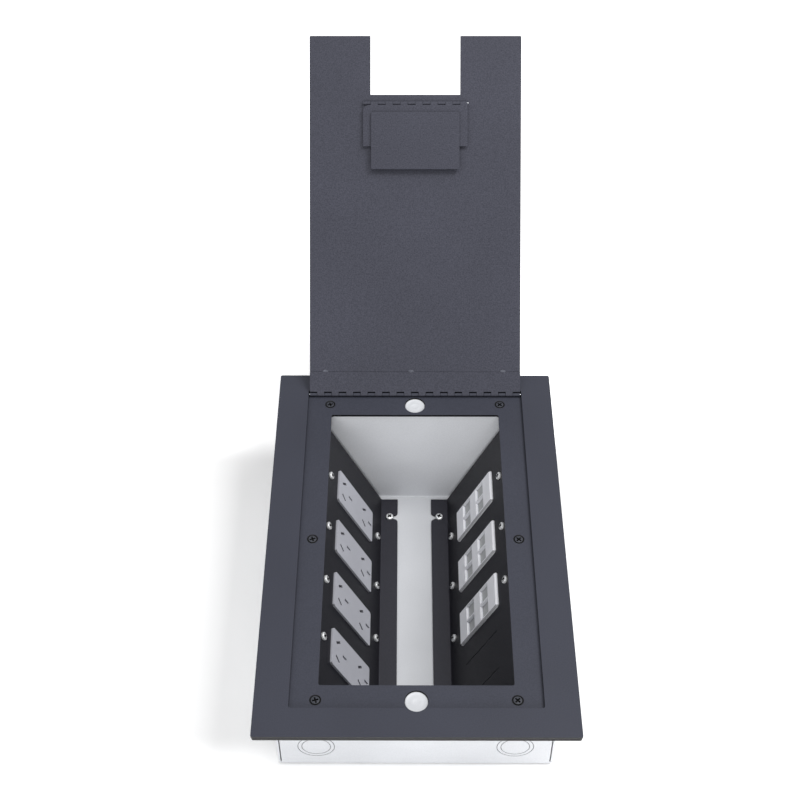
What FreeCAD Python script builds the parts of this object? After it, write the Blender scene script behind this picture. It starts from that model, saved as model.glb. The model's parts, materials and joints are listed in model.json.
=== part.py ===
"""Flush floor socket box with a hinged lid, built as an assembly of separate pieces.

Millimetres. +X right, +Y towards the lid hinge, +Z up. The origin is the centre of the
cover flange, on its top face, which lies level with the finished floor. The lid stands
open and its cable flap lies folded back on it.
"""
import FreeCAD, Part
import math
import os
import re
import Sketcher

V = FreeCAD.Vector
AXES = {"X": V(1, 0, 0), "Y": V(0, 1, 0), "Z": V(0, 0, 1)}
RIGHT, LEFT = 1, -1
TOUCH = 1e-4
# Radius of the ring of points a sketch starts from, before its formulas move them.
SKETCH_START = 50

doc = FreeCAD.newDocument("FloorSocketBox")
nodes = []

# ---------------------------------------------------------------- driving sizes
SIZES = {
    # cover flange, packing layer and inner frame
    "opening_width": 131.4,
    "opening_length": 245.0,
    "opening_corner": 1.5,
    "side_strip": 18.9,
    "front_strip": 18.8,
    "rear_strip": 23.9,
    "side_margin": 23.4,
    "front_margin": 21.7,
    "rear_margin": 16.6,
    "flange_plate": 2.0,
    "flange_corner": 1.5,
    "packing_width": 14.0,
    "packing_setback": 3.5,
    "frame_plate": 2.0,
    "frame_inset": 0.3,
    # folded box body
    "body_side_space": 31.0,
    "body_end_space": 2.1,
    "body_sheet": 1.5,
    "body_bend": 1.5,
    "side_lip": 7.0,
    "end_lip": 20.0,
    "end_lip_width": 168.0,
    "lip_corner": 12.0,
    "seam_gap": 0.8,
    "seam_foot": 4.5,
    "knockout_outer": 26.0,
    "knockout_inner": 20.3,
    "knockout_groove": 0.5,
    "knockout_skin": 0.8,
    "knockout_inset": 28.0,
    "knockout_rise": 25.5,
    # sloping brackets
    "bracket_sheet": 1.5,
    "bracket_bend": 1.0,
    "bracket_end_gap": 6.1,
    "bracket_setback": 1.8,
    "bracket_tilt": 24.5,
    "bracket_lip": 18.0,
    "foot_width": 12.8,
    "knee_depth": 15.5,
    "slope_below": 9.0,
    "slope_above": 5.3,
    "foot_slot_width": 3.6,
    "foot_slot_reach": 6.6,
    "foot_slot_entry": 3.4,
    "foot_slot_inset": 19.0,
    # modules that stand on the slopes
    "module_end_gap": 45.0,
    "module_shift": 1.0,
    "module_length": 59.6,
    "module_width": 30.2,
    "module_corner": 2.0,
    "module_gap": 0.25,
    "screw_centres": 84.0,
    "strap_end": 4.5,
    "strap_ear": 13.0,
    "strap_width": 35.0,
    "strap_body": 66.0,
    "strap_plate": 2.5,
    # socket outlets
    "outlet_proud": 1.6,
    "pin_pitch": 13.7,
    "pin_tilt": 30.0,
    "earth_drop": 10.8,
    "socket_pitch": 35.4,
    "socket_rise": 3.5,
    "pin_slot_width": 1.9,
    "pin_slot_length": 6.5,
    "housing_end_gap": 0.5,
    "housing_width": 31.0,
    "housing_depth": 20.0,
    "housing_wall": 2.0,
    "contact_sheet": 0.8,
    "contact_width": 5.0,
    "contact_reach": 13.0,
    "contact_mouth": 2.0,
    # data plates and their blank inserts
    "data_proud": 2.0,
    "data_bevel": 1.2,
    "window_width": 12.2,
    "window_length": 12.4,
    "window_across": 13.8,
    "window_along": 22.2,
    "insert_gap": 0.1,
    "insert_sink": 2.3,
    "insert_lip": 0.7,
    "insert_back": 1.6,
    "blank_slit": 0.5,
    "blank_slit_length": 50.0,
    # screws and nuts
    "frame_screw": 4.0,
    "frame_screw_head": 8.2,
    "frame_screw_length": 10.0,
    "corner_screw_inset": 17.4,
    "corner_screw_reach": 11.3,
    "nut_across": 7.0,
    "nut_height": 3.2,
    "pan_screw": 3.4,
    "pan_head": 6.0,
    "pan_head_height": 2.1,
    "pan_crown": 0.9,
    "foot_screw_shortfall": 0.2,
    "module_screw_length": 8.0,
    "thread_gap": 0.03,
    "hole_gap": 0.2,
    # plugs in the end strips
    "plug_diameter": 15.8,
    "plug_gap": 0.1,
    "plug_sink": 1.2,
    "plug_scallop": 1.8,
    "plug_dish": 0.5,
    "plug_rim": 1.3,
    "plug_front_reach": 12.0,
    "plug_rear_reach": 10.4,
    # lid, cable flap and their piano hinges
    "lid_open": 135.0,
    "lid_corner": 1.0,
    "lid_side_gap": 0.9,
    "lid_front_gap": 0.9,
    "lid_rear_gap": 0.6,
    "stop_gap": 0.15,
    "notch_width": 71.0,
    "notch_depth": 46.2,
    "hinge_sheet": 0.8,
    "hinge_radius": 1.5,
    "hinge_bore": 0.7,
    "hinge_running": 0.03,
    "knuckle_gap": 0.25,
    "knuckle_notch": 0.7,
    "flap_knuckle_notch": 0.15,
    "flap_leaf_corner": 5.0,
    "frame_leaf_setback": 2.1,
    "leaf_clearance": 0.1,
    "lid_leaf": 18.0,
    "flap_setback": 6.8,
    "flap_hinge_overlap": 5.8,
    "flap_base_leaf": 16.0,
    "flap_leaf": 34.2,
    "flap_gap": 0.6,
}


def fill_sheet():
    """Put every driving size in its own aliased cell."""
    table = doc.addObject("Spreadsheet::Sheet", "Sizes")
    for row, (alias, number) in enumerate(SIZES.items(), start=1):
        table.set("A%d" % row, alias.replace("_", " "))
        table.set("B%d" % row, str(number))
        table.setAlias("B%d" % row, alias)
    doc.recompute()
    return table


sheet = fill_sheet()


def size(alias):
    """The number that the sheet holds under an alias."""
    return float(sheet.get(alias))


def expression(text):
    """Turn the alias words in a formula into references to the sheet."""
    return re.sub(r"[a-z]+(_[a-z]+)+", lambda word: "Sizes." + word.group(), str(text))


def bind(thing, links):
    """Bind properties of an object to formulas over the sizes."""
    for path, text in links.items():
        thing.setExpression(path, expression(text))


# ---------------------------------------------------------------- derived levels and places
HINGE_KNUCKLES = 29
FLAP_KNUCKLES = 14
SLOPE_PLACES = ("-1.5", "-0.5", "0.5", "1.5")
BLANK_PLACE = "-1.5"

PACKING_PLATE = "(hinge_sheet + leaf_clearance)"
FRAME_TOP = "(-flange_plate - %s)" % PACKING_PLATE
FRAME_BOTTOM = "(%s - frame_plate)" % FRAME_TOP
LIP_BOTTOM = "(%s - body_sheet)" % FRAME_BOTTOM

# Plan, from the opening outwards: strips, then the flange's margins.
OPENING_END = "(opening_length / 2)"
RECESS_HALF = "(opening_width / 2 + side_strip)"
RECESS_FRONT = "(-opening_length / 2 - front_strip)"
RECESS_REAR = "(opening_length / 2 + rear_strip)"
FLANGE_HALF = "(%s + side_margin)" % RECESS_HALF
FLANGE_FRONT = "(%s - front_margin)" % RECESS_FRONT
FLANGE_REAR = "(%s + rear_margin)" % RECESS_REAR

# Brackets: a wall just behind the opening's edge, then a slope as long as its modules need.
KNEE_PLACE = "(opening_width / 2 + bracket_setback)"
MODULE_CENTRE = "(slope_below + screw_centres / 2)"
SLOPE_LENGTH = "(slope_below + screw_centres + slope_above)"
SLOPE_FOOT = "(%s - %s * sin(bracket_tilt * 1 deg))" % (KNEE_PLACE, SLOPE_LENGTH)
FOOT_EDGE = "(%s - foot_width)" % SLOPE_FOOT
BODY_FLOOR = "(-knee_depth - %s * cos(bracket_tilt * 1 deg))" % SLOPE_LENGTH
BODY_BOTTOM = "(%s - body_sheet)" % BODY_FLOOR
FOOT_TOP = "(%s + bracket_sheet)" % BODY_FLOOR
BODY_HALF_WIDTH = "(%s + body_side_space)" % KNEE_PLACE
BODY_HALF_LENGTH = "(%s + body_end_space)" % OPENING_END
BRACKET_END = "(%s - bracket_end_gap)" % BODY_HALF_LENGTH
FOOT_SLOT_PLACE = "(%s - foot_slot_inset)" % BRACKET_END
FOOT_SLOT_END = "(%s + foot_slot_reach)" % FOOT_EDGE
MODULE_PITCH = "(2 * (%s - module_end_gap) / %d)" % (BRACKET_END, len(SLOPE_PLACES) - 1)
EARTH_REACH = "(socket_pitch / 2 - socket_rise + earth_drop + pin_slot_length / 2)"
HOUSING_LENGTH = "(2 * (%s + housing_end_gap + housing_wall))" % EARTH_REACH
PLUG_FRONT = "(-%s - plug_front_reach)" % OPENING_END
PLUG_REAR = "(%s + plug_rear_reach)" % OPENING_END
MIDDLE_SCREW = "(opening_width / 2 + side_strip / 2)"

# The lid's outer face meets the flange's rear edge when the lid is fully open.
HINGE_LEVEL = "(hinge_radius - flange_plate - hinge_sheet)"
STOP_REACH = "(-%s * (1 - cos(lid_open * 1 deg)) / sin(lid_open * 1 deg) + stop_gap)" % HINGE_LEVEL
HINGE_PLACE = "(%s - %s)" % (RECESS_REAR, STOP_REACH)
FRAME_LEAF = "(%s - frame_leaf_setback - %s)" % (FLANGE_REAR, HINGE_PLACE)
LID_HALF = "(%s - lid_side_gap)" % RECESS_HALF
LID_REACH = "(%s - %s - lid_front_gap)" % (HINGE_PLACE, RECESS_FRONT)
LID_UNDERSIDE = "(hinge_sheet - hinge_radius)"
FLAP_REACH = "(%s - notch_depth - flap_setback)" % LID_REACH
FLAP_DROP = "(2 * hinge_radius - hinge_sheet)"
KNUCKLE = "(2 * %s / %d)" % (LID_HALF, HINGE_KNUCKLES)
FLAP_KNUCKLE = "((notch_width + 2 * flap_hinge_overlap) / %d)" % FLAP_KNUCKLES
# ---------------------------------------------------------------- building blocks
def add(kind, name, links):
    """Add an object whose properties follow formulas over the sizes."""
    thing = doc.addObject(kind, name)
    bind(thing, links)
    return thing


def block(name, xs, ys, zs):
    """A box that spans a pair of formulas along each axis."""
    links = {}
    for axis, side, (low, high) in zip("xyz", ("Length", "Width", "Height"), (xs, ys, zs)):
        links[side] = "(%s) - (%s)" % (high, low)
        links["Placement.Base." + axis] = low
    return add("Part::Box", name, links)


def middle(width):
    """A span of the given width about zero."""
    return "-(%s) / 2" % width, "(%s) / 2" % width


def about(place, width):
    """A span of the given width about a place."""
    return "%s - (%s) / 2" % (place, width), "%s + (%s) / 2" % (place, width)


TURNS = {
    "X": FreeCAD.Rotation(AXES["Y"], 90),
    "Y": FreeCAD.Rotation(AXES["X"], -90),
    "Z": FreeCAD.Rotation(),
}


def turned(kind, name, axis, span, place, links):
    """A round primitive that spans two formulas along an axis, at a place across it."""
    thing = doc.addObject(kind, name)
    thing.Placement = FreeCAD.Placement(V(), TURNS[axis])
    low, high = span
    others = [letter for letter in "xyz" if letter != axis.lower()]
    links["Height"] = "(%s) - (%s)" % (high, low)
    links["Placement.Base." + axis.lower()] = low
    for letter, where in zip(others, place):
        links["Placement.Base." + letter] = where
    bind(thing, links)
    return thing


def rod(name, axis, radius, span, place):
    """A cylinder along an axis."""
    return turned("Part::Cylinder", name, axis, span, place, {"Radius": radius})


def cone(name, radii, span, place):
    """A vertical cone from its lower radius to its upper one."""
    return turned("Part::Cone", name, "Z", span, place, {"Radius1": radii[0], "Radius2": radii[1]})


def fuse(name, parts):
    """One solid from touching or overlapping solids."""
    thing = doc.addObject("Part::MultiFuse", name)
    thing.Shapes = list(parts)
    thing.Refine = True
    return thing


def gather(name, parts):
    """A group of separate solids."""
    thing = doc.addObject("Part::Compound", name)
    thing.Links = list(parts)
    return thing


def cut(name, base, tools):
    """A solid with one or more others taken away from it."""
    tools = list(tools)
    thing = doc.addObject("Part::Cut", name)
    thing.Base = base
    thing.Tool = tools[0] if len(tools) == 1 else fuse(name + "Tools", tools)
    return thing


def dressed(kind, name, base, reach, choose):
    """A fillet or chamfer on the edges that a test picks."""
    doc.recompute()
    thing = doc.addObject(kind, name)
    thing.Base = base
    edges = enumerate(base.Shape.Edges, start=1)
    thing.Edges = [(number, reach, reach) for number, edge in edges if choose(edge, base.Shape)]
    return thing


def runs_along(axis):
    """A test for straight edges parallel to an axis."""
    def check(edge, shape):
        ends = [vertex.Point for vertex in edge.Vertexes]
        return len(ends) == 2 and (ends[1] - ends[0]).cross(AXES[axis]).Length < TOUCH
    return check


def lowest(axis):
    """A test for edges that lie wholly at a shape's lowest level along an axis."""
    return lambda edge, shape: flat_at(edge, shape, axis, "Min")


def highest(axis):
    """A test for edges that lie wholly at a shape's highest level along an axis."""
    return lambda edge, shape: flat_at(edge, shape, axis, "Max")


def flat_at(edge, shape, axis, end):
    """Whether an edge lies wholly at one end of a shape along an axis."""
    level = getattr(shape.BoundBox, axis + end)
    ends = [getattr(edge.BoundBox, axis + name) for name in ("Min", "Max")]
    return all(abs(place - level) < TOUCH for place in ends)


def both(first, second):
    """A test that needs two others to pass."""
    return lambda edge, shape: first(edge, shape) and second(edge, shape)


def rounded_block(name, xs, ys, zs, axis, radius):
    """A box with the four edges along one axis rounded."""
    return dressed("Part::Fillet", name, block(name + "Blank", xs, ys, zs), size(radius), runs_along(axis))


def node(thing, label):
    """Register a finished piece under its node name."""
    thing.Label = label
    nodes.append(thing)
    return thing


def profile(body, role, points):
    """A closed sketch on an origin plane whose corners follow formulas."""
    sketch = body.newObject("Sketcher::SketchObject", body.Name + "Profile")
    plane = [item for item in body.Origin.OriginFeatures if item.Role == role][0]
    sketch.AttachmentSupport = (plane, [""])
    sketch.MapMode = "FlatFace"
    count = len(points)
    for index in range(count):
        turn = 2 * math.pi / count
        ends = [
            V(SKETCH_START * math.cos(turn * step), SKETCH_START * math.sin(turn * step), 0)
            for step in (index, index + 1)
        ]
        sketch.addGeometry(Part.LineSegment(ends[0], ends[1]), False)
    for index in range(count):
        sketch.addConstraint(Sketcher.Constraint("Coincident", index, 2, (index + 1) % count, 1))
    for index, corner in enumerate(points):
        for kind, formula in zip(("DistanceX", "DistanceY"), corner):
            number = sketch.addConstraint(Sketcher.Constraint(kind, -1, 1, index, 1, 1.0))
            sketch.setExpression("Constraints[%d]" % number, expression(formula))
    return sketch


# ---------------------------------------------------------------- flange, packing and frame
def plate_with_opening(name, outline, opening, levels, corner):
    """A flat rectangular plate with one rectangular opening."""
    plate = rounded_block(name + "Plate", outline[0], outline[1], levels, "Z", corner)
    window = rounded_block(name + "Window", opening[0], opening[1], levels, "Z", corner)
    return cut(name, plate, [window])


def cover_flange():
    """The visible rim, with the lid's recess cut through it and a scallop for the near plug."""
    outline = (("-" + FLANGE_HALF, FLANGE_HALF), (FLANGE_FRONT, FLANGE_REAR))
    recess = (("-" + RECESS_HALF, RECESS_HALF), (RECESS_FRONT, RECESS_REAR))
    levels = ("-flange_plate", "0")
    flange = plate_with_opening("Flange", outline, recess, levels, "flange_corner")
    scallop = rod("PlugScallop", "Z", "plug_diameter / 2 + plug_gap + plug_scallop", levels, ("0", PLUG_FRONT))
    node(cut("CoverFlange", flange, [scallop]), "cover_flange")


def packing_strips():
    """Three strips that space the flange off the frame where the hinge leaf doesn't."""
    levels = (FRAME_TOP, "-flange_plate")
    outer = "(%s - packing_setback)" % FLANGE_HALF
    inner = "(%s - packing_width)" % outer
    near = "(%s + packing_setback)" % FLANGE_FRONT
    along = (near, "%s - packing_setback" % FLANGE_REAR)
    strips = [
        block("PackingRight", (inner, outer), along, levels),
        block("PackingLeft", ("-" + outer, "-" + inner), along, levels),
        block("PackingNear", ("-" + inner, inner), (near, near + " + packing_width"), levels),
    ]
    node(gather("PackingStrips", strips), "packing_strips")


def frame_screw_places():
    """The six countersunk screws: four at the corners, two halfway along the sides."""
    across = "(%s - corner_screw_inset)" % RECESS_HALF
    along = "(%s + corner_screw_reach)" % OPENING_END
    corners = [("%s * %s" % (x, across), "%s * %s" % (y, along)) for x in ("1", "-1") for y in ("1", "-1")]
    return corners + [(MIDDLE_SCREW, "0"), ("-" + MIDDLE_SCREW, "0")]


def inner_frame():
    """The plate under the flange, with countersunk holes and two plug holes."""
    half = "(%s - frame_inset)" % FLANGE_HALF
    outline = (("-" + half, half), (FLANGE_FRONT + " + frame_inset", FLANGE_REAR + " - frame_inset"))
    opening = (middle("opening_width"), middle("opening_length"))
    levels = (FRAME_BOTTOM, FRAME_TOP)
    plate = plate_with_opening("FramePlate", outline, opening, levels, "opening_corner")
    shank, head = "(frame_screw / 2 + thread_gap)", "(frame_screw_head / 2 + thread_gap)"
    sink = ("%s - (frame_screw_head - frame_screw) / 2" % FRAME_TOP, FRAME_TOP)
    holes = []
    for place in frame_screw_places():
        holes.append(cone("FrameSink", (shank, head), sink, place))
        holes.append(rod("FrameHole", "Z", shank, levels, place))
    for reach in (PLUG_FRONT, PLUG_REAR):
        holes.append(rod("PlugHole", "Z", "plug_diameter / 2 + plug_gap", levels, ("0", reach)))
    node(cut("InnerFrame", plate, holes), "inner_frame")


def plug(label, reach):
    """A dished plug that fills a hole in an end strip and rests on the body's lip."""
    top = "(%s - plug_sink)" % FRAME_TOP
    disc = rod("PlugDisc", "Z", "plug_diameter / 2", (FRAME_BOTTOM, top), ("0", reach))
    dish = rod("PlugDish", "Z", "plug_diameter / 2 - plug_rim", (top + " - plug_dish", top), ("0", reach))
    node(cut("Plug", disc, [dish]), label)


# ---------------------------------------------------------------- folded box body
def inside(half):
    """The span between two opposite walls of the body."""
    return "body_sheet - %s" % half, "%s - body_sheet" % half


def mirrored(side, near, far):
    """A span on one side of zero, from its nearer to its farther end."""
    return (near, far) if side == RIGHT else ("-(%s)" % far, "-(%s)" % near)


def body_shell():
    """The folded tray before its lips: rounded bottom bends, sharp upright corners."""
    across, along = ("-" + BODY_HALF_WIDTH, BODY_HALF_WIDTH), ("-" + BODY_HALF_LENGTH, BODY_HALF_LENGTH)
    outer = block("BodyOuter", across, along, (BODY_BOTTOM, FRAME_BOTTOM))
    outer_bend = size("body_bend") + size("body_sheet")
    outer = dressed("Part::Fillet", "BodyOuterBends", outer, outer_bend, lowest("Z"))
    inner = block("BodyInner", inside(BODY_HALF_WIDTH), inside(BODY_HALF_LENGTH), (BODY_FLOOR, FRAME_BOTTOM))
    inner = dressed("Part::Fillet", "BodyInnerBends", inner, size("body_bend"), lowest("Z"))
    return cut("BodyShell", outer, [inner])


def body_lips():
    """Lips that turn outwards from the tops of the four walls."""
    levels = (LIP_BOTTOM, FRAME_BOTTOM)
    along = ("-" + BODY_HALF_LENGTH, BODY_HALF_LENGTH)
    lips = []
    for side in (RIGHT, LEFT):
        span = mirrored(side, BODY_HALF_WIDTH + " - body_sheet", BODY_HALF_WIDTH + " + side_lip")
        lips.append(block("SideLip", span, along, levels))
        span = mirrored(side, BODY_HALF_LENGTH + " - body_sheet", BODY_HALF_LENGTH + " + end_lip")
        lip = block("EndLipBlank", middle("end_lip_width"), span, levels)
        free_end = highest("Y") if side == RIGHT else lowest("Y")
        corners = both(free_end, runs_along("Z"))
        lips.append(dressed("Part::Fillet", "EndLip", lip, size("lip_corner"), corners))
    return lips


def seams():
    """Open seams between the end walls and the side walls."""
    slots = []
    inner = "(%s - body_sheet)" % BODY_HALF_WIDTH
    for x_side in (RIGHT, LEFT):
        across = mirrored(x_side, inner + " - seam_gap", inner)
        for y_side in (RIGHT, LEFT):
            along = mirrored(y_side, BODY_HALF_LENGTH + " - body_sheet", BODY_HALF_LENGTH)
            slots.append(block("Seam", across, along, (BODY_BOTTOM + " + seam_foot", FRAME_BOTTOM)))
    return slots


def knockouts():
    """Pairs of ring grooves round the conduit knock-outs in both end walls."""
    rings = []
    across = "(%s - knockout_inset)" % BODY_HALF_WIDTH
    height = "(%s + knockout_rise)" % BODY_BOTTOM
    for y_side in (RIGHT, LEFT):
        span = mirrored(y_side, BODY_HALF_LENGTH + " - body_sheet + knockout_skin", BODY_HALF_LENGTH)
        for x_side in (RIGHT, LEFT):
            place = ("%d * %s" % (x_side, across), height)
            for diameter in ("knockout_outer", "knockout_inner"):
                outer = rod("RingOuter", "Y", diameter + " / 2 + knockout_groove / 2", span, place)
                inner = rod("RingInner", "Y", diameter + " / 2 - knockout_groove / 2", span, place)
                rings.append(cut("Ring", outer, [inner]))
    return rings


def foot_screw_places():
    """The four screws that hold the bracket feet to the floor of the body."""
    sides = (RIGHT, LEFT)
    return [("%d * %s" % (x, FOOT_SLOT_END), "%d * %s" % (y, FOOT_SLOT_PLACE)) for x in sides for y in sides]


def box_body():
    """The folded steel box that hangs under the frame."""
    tray = fuse("BodyTray", [body_shell()] + body_lips())
    holes = seams() + knockouts()
    for place in frame_screw_places()[:4]:
        holes.append(rod("LipHole", "Z", "frame_screw / 2 + hole_gap", (LIP_BOTTOM, FRAME_BOTTOM), place))
    for place in foot_screw_places():
        holes.append(rod("FloorHole", "Z", "pan_screw / 2 + thread_gap", (BODY_BOTTOM, BODY_FLOOR), place))
    node(cut("BoxBody", tray, holes), "box_body")


# ---------------------------------------------------------------- fasteners
def frame_screws():
    """Six countersunk screws with blind drive recesses left to the finish model."""
    screws = []
    shank = "(frame_screw / 2)"
    for place in frame_screw_places():
        depth = "(%s - (frame_screw_head - frame_screw) / 2)" % FRAME_TOP
        head = cone("SinkHead", (shank, "frame_screw_head / 2"), (depth, FRAME_TOP), place)
        stem = rod("SinkStem", "Z", shank, ("%s - frame_screw_length" % FRAME_TOP, depth), place)
        screws.append(fuse("FrameScrew", [head, stem]))
    node(gather("FrameScrews", screws), "frame_screws")


def weld_nuts():
    """Square nuts under the lips, one for each frame screw."""
    nuts = []
    for across, along in frame_screw_places():
        levels = (LIP_BOTTOM + " - nut_height", LIP_BOTTOM)
        blank = block("NutBlank", about(across, "nut_across"), about(along, "nut_across"), levels)
        bore = rod("NutBore", "Z", "frame_screw / 2 + thread_gap", levels, (across, along))
        nuts.append(cut("WeldNut", blank, [bore]))
    node(gather("WeldNuts", nuts), "weld_nuts")


def pan_screw(name, length):
    """A pan-head screw along X: its bevelled head stands on zero, its stem runs to +X."""
    rim = "pan_head / 2 - pan_crown"
    head = rod(name + "Head", "X", "pan_head / 2", ("pan_crown - pan_head_height", "0"), ("0", "0"))
    crown = turned(
        "Part::Cone", name + "Crown", "X", ("-pan_head_height", "pan_crown - pan_head_height"), ("0", "0"),
        {"Radius1": rim, "Radius2": "pan_head / 2"})
    stem = rod(name + "Stem", "X", "pan_screw / 2", ("0", length), ("0", "0"))
    return fuse(name, [head, crown, stem])


def foot_screws():
    """Four pan-head screws through the feet into the floor."""
    screw = pan_screw("FootScrew", "body_sheet + bracket_sheet - foot_screw_shortfall")
    screws = []
    for across, along in foot_screw_places():
        copy = gather("FootScrewAt", [screw])
        copy.Placement = FreeCAD.Placement(V(), FreeCAD.Rotation(AXES["Y"], 90))
        bind(copy, {"Placement.Base.x": across, "Placement.Base.y": along, "Placement.Base.z": FOOT_TOP})
        screws.append(copy)
    node(gather("FootScrews", screws), "foot_screws")


# ---------------------------------------------------------------- sloping brackets
def bracket_profile():
    """The corners of the folded strip, seen along the box: foot, slope, wall and lip."""
    wall_back = "(%s + bracket_sheet)" % KNEE_PLACE
    lip_end = "(%s + bracket_lip)" % KNEE_PLACE
    lip_under = "(%s - bracket_sheet)" % FRAME_BOTTOM
    return [
        (FOOT_EDGE, BODY_FLOOR),
        (SLOPE_FOOT + " + bracket_sheet / cos(bracket_tilt * 1 deg)", BODY_FLOOR),
        (wall_back, "-knee_depth - bracket_sheet * tan(bracket_tilt * 0.5 deg)"),
        (wall_back, lip_under),
        (lip_end, lip_under),
        (lip_end, FRAME_BOTTOM),
        (KNEE_PLACE, FRAME_BOTTOM),
        (KNEE_PLACE, "-knee_depth"),
        (SLOPE_FOOT + " + bracket_sheet * tan(bracket_tilt * 1 deg)", FOOT_TOP),
        (FOOT_EDGE, FOOT_TOP),
    ]


def bracket_blank():
    """The folded strip for the right-hand side, with its bends, before it is pierced."""
    body = doc.addObject("PartDesign::Body", "BracketStrip")
    pad = body.newObject("PartDesign::Pad", "BracketPad")
    pad.Profile = profile(body, "XZ_Plane", bracket_profile())
    pad.SideType = "Symmetric"
    bind(pad, {"Length": "2 * " + BRACKET_END})
    doc.recompute()
    sketch = pad.Profile[0]
    inside, outside = size("bracket_bend"), size("bracket_bend") + size("bracket_sheet")
    bends = {1: outside, 2: outside, 3: inside, 6: outside, 7: inside, 8: inside}
    feature = pad
    for reach in (inside, outside):
        wanted = [sketch.Geometry[index].StartPoint for index in bends if bends[index] == reach]
        names = []
        for number, edge in enumerate(feature.Shape.Edges, start=1):
            ends = [vertex.Point for vertex in edge.Vertexes]
            straight = len(ends) == 2 and (ends[1] - ends[0]).cross(AXES["Y"]).Length < 1e-6
            if straight and any(math.hypot(ends[0].x - w.x, ends[0].z - w.y) < 1e-4 for w in wanted):
                names.append("Edge%d" % number)
        fillet = body.newObject("PartDesign::Fillet", "BracketBend")
        fillet.Base = (feature, names)
        fillet.Radius = reach
        doc.recompute()
        feature = fillet
    body.Tip = feature
    return body


def foot_slots():
    """Open slots in the foot, from its free edge to the screws."""
    slots = []
    levels = (BODY_FLOOR, FOOT_TOP)
    for side in (RIGHT, LEFT):
        place = "%d * %s" % (side, FOOT_SLOT_PLACE)
        slots.append(block("FootSlot", (FOOT_EDGE, FOOT_SLOT_END), about(place, "foot_slot_width"), levels))
        slots.append(rod("FootSlotEnd", "Z", "foot_slot_width / 2", levels, (FOOT_SLOT_END, place)))
        slots.append(foot_slot_mouth(place, levels))
    return slots


def foot_slot_mouth(place, levels):
    """The rounded way into a foot slot: a block less a quarter round at each side."""
    wide = "foot_slot_width + 2 * foot_slot_entry"
    reach = "(%s + foot_slot_entry)" % FOOT_EDGE
    mouth = block("Mouth", (FOOT_EDGE, reach), about(place, wide), levels)
    rounds = []
    for side in ("1", "-1"):
        centre = "%s + %s * (foot_slot_width / 2 + foot_slot_entry)" % (place, side)
        rounds.append(rod("MouthRound", "Z", "foot_slot_entry", levels, (reach, centre)))
    return cut("MouthCut", mouth, rounds)


def stand_on_slope(thing, side, place):
    """Put a piece that is drawn upright onto a slope, at a place along the box."""
    yaw = 0 if side == RIGHT else 180
    where = "create(<<vector>>; %d * %s; %s; %s)" % (side, SLOPE_FOOT, place, BODY_FLOOR)
    turn = "create(<<rotation>>; %d; bracket_tilt; 0)" % yaw
    bind(thing, {"Placement": "create(<<placement>>; %s; %s)" % (where, turn)})
    return thing


def copy_on_slope(name, master, side, place):
    """A copy of a master piece on a slope."""
    return stand_on_slope(gather(name, [master]), side, place)


def slope_place(step):
    """The place along the box of a module, counted in pitches from the middle."""
    return "module_shift + %s * %s" % (step, MODULE_PITCH)


def aperture():
    """The opening and two screw holes that one module needs in the slope."""
    through = ("0", "bracket_sheet")
    window = rounded_block(
        "Aperture", through, middle("module_width + 2 * module_gap"),
        about(MODULE_CENTRE, "module_length + 2 * module_gap"), "X", "module_corner")
    parts = [window]
    for sign in ("-", "+"):
        height = "%s %s screw_centres / 2" % (MODULE_CENTRE, sign)
        parts.append(rod("SlopeHole", "X", "pan_screw / 2 + hole_gap", through, ("0", height)))
    return gather("ApertureTools", parts)


def blank_slits():
    """Two slits that mark out a spare opening which is still closed."""
    parts = []
    for side in ("1", "-1"):
        across = side + " * (module_width + 2 * module_gap) / 2"
        span = about(MODULE_CENTRE, "blank_slit_length")
        parts.append(block("BlankSlit", ("0", "bracket_sheet"), about(across, "blank_slit"), span))
    return gather("BlankTools", parts)


def brackets(strip, opening, slits):
    """Both brackets: four openings for power, three and a blank for data."""
    slots = foot_slots()
    pierced = cut("PiercedStrip", strip, slots)
    for side, label in ((RIGHT, "data_bracket"), (LEFT, "power_bracket")):
        yaw = 0 if side == RIGHT else 180
        base = gather("BracketBase", [pierced])
        base.Placement = FreeCAD.Placement(V(), FreeCAD.Rotation(AXES["Z"], yaw))
        tools = []
        for step in SLOPE_PLACES:
            blank = side == RIGHT and step == BLANK_PLACE
            tools.append(copy_on_slope("SlopeTool", slits if blank else opening, side, slope_place(step)))
        across = "%d * %s" % (side, MIDDLE_SCREW)
        lip_span = (LIP_BOTTOM, FRAME_BOTTOM)
        tools.append(rod("BracketLipHole", "Z", "frame_screw / 2 + hole_gap", lip_span, (across, "0")))
        node(cut("Bracket", base, tools), label)


# ---------------------------------------------------------------- modules on the slopes
def module_face(name, proud):
    """The boss that fills an opening and the strap behind the slope that carries it."""
    boss = rounded_block(
        name + "Boss", ("-" + proud, "bracket_sheet"), middle("module_width"),
        about(MODULE_CENTRE, "module_length"), "X", "module_corner")
    behind = ("bracket_sheet", "bracket_sheet + strap_plate")
    strap = block(name + "Strap", behind, middle("strap_width"), about(MODULE_CENTRE, "strap_body"))
    ear_span = about(MODULE_CENTRE, "screw_centres + 2 * strap_end")
    ears = block(name + "Ears", behind, middle("strap_ear"), ear_span)
    return boss, [strap, ears]


def ear_holes(name):
    """Threaded holes in the strap's ears."""
    holes = []
    for sign in ("-", "+"):
        height = "%s %s screw_centres / 2" % (MODULE_CENTRE, sign)
        span = ("bracket_sheet", "bracket_sheet + strap_plate")
        holes.append(rod(name, "X", "pan_screw / 2 + thread_gap", span, ("0", height)))
    return holes


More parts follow.
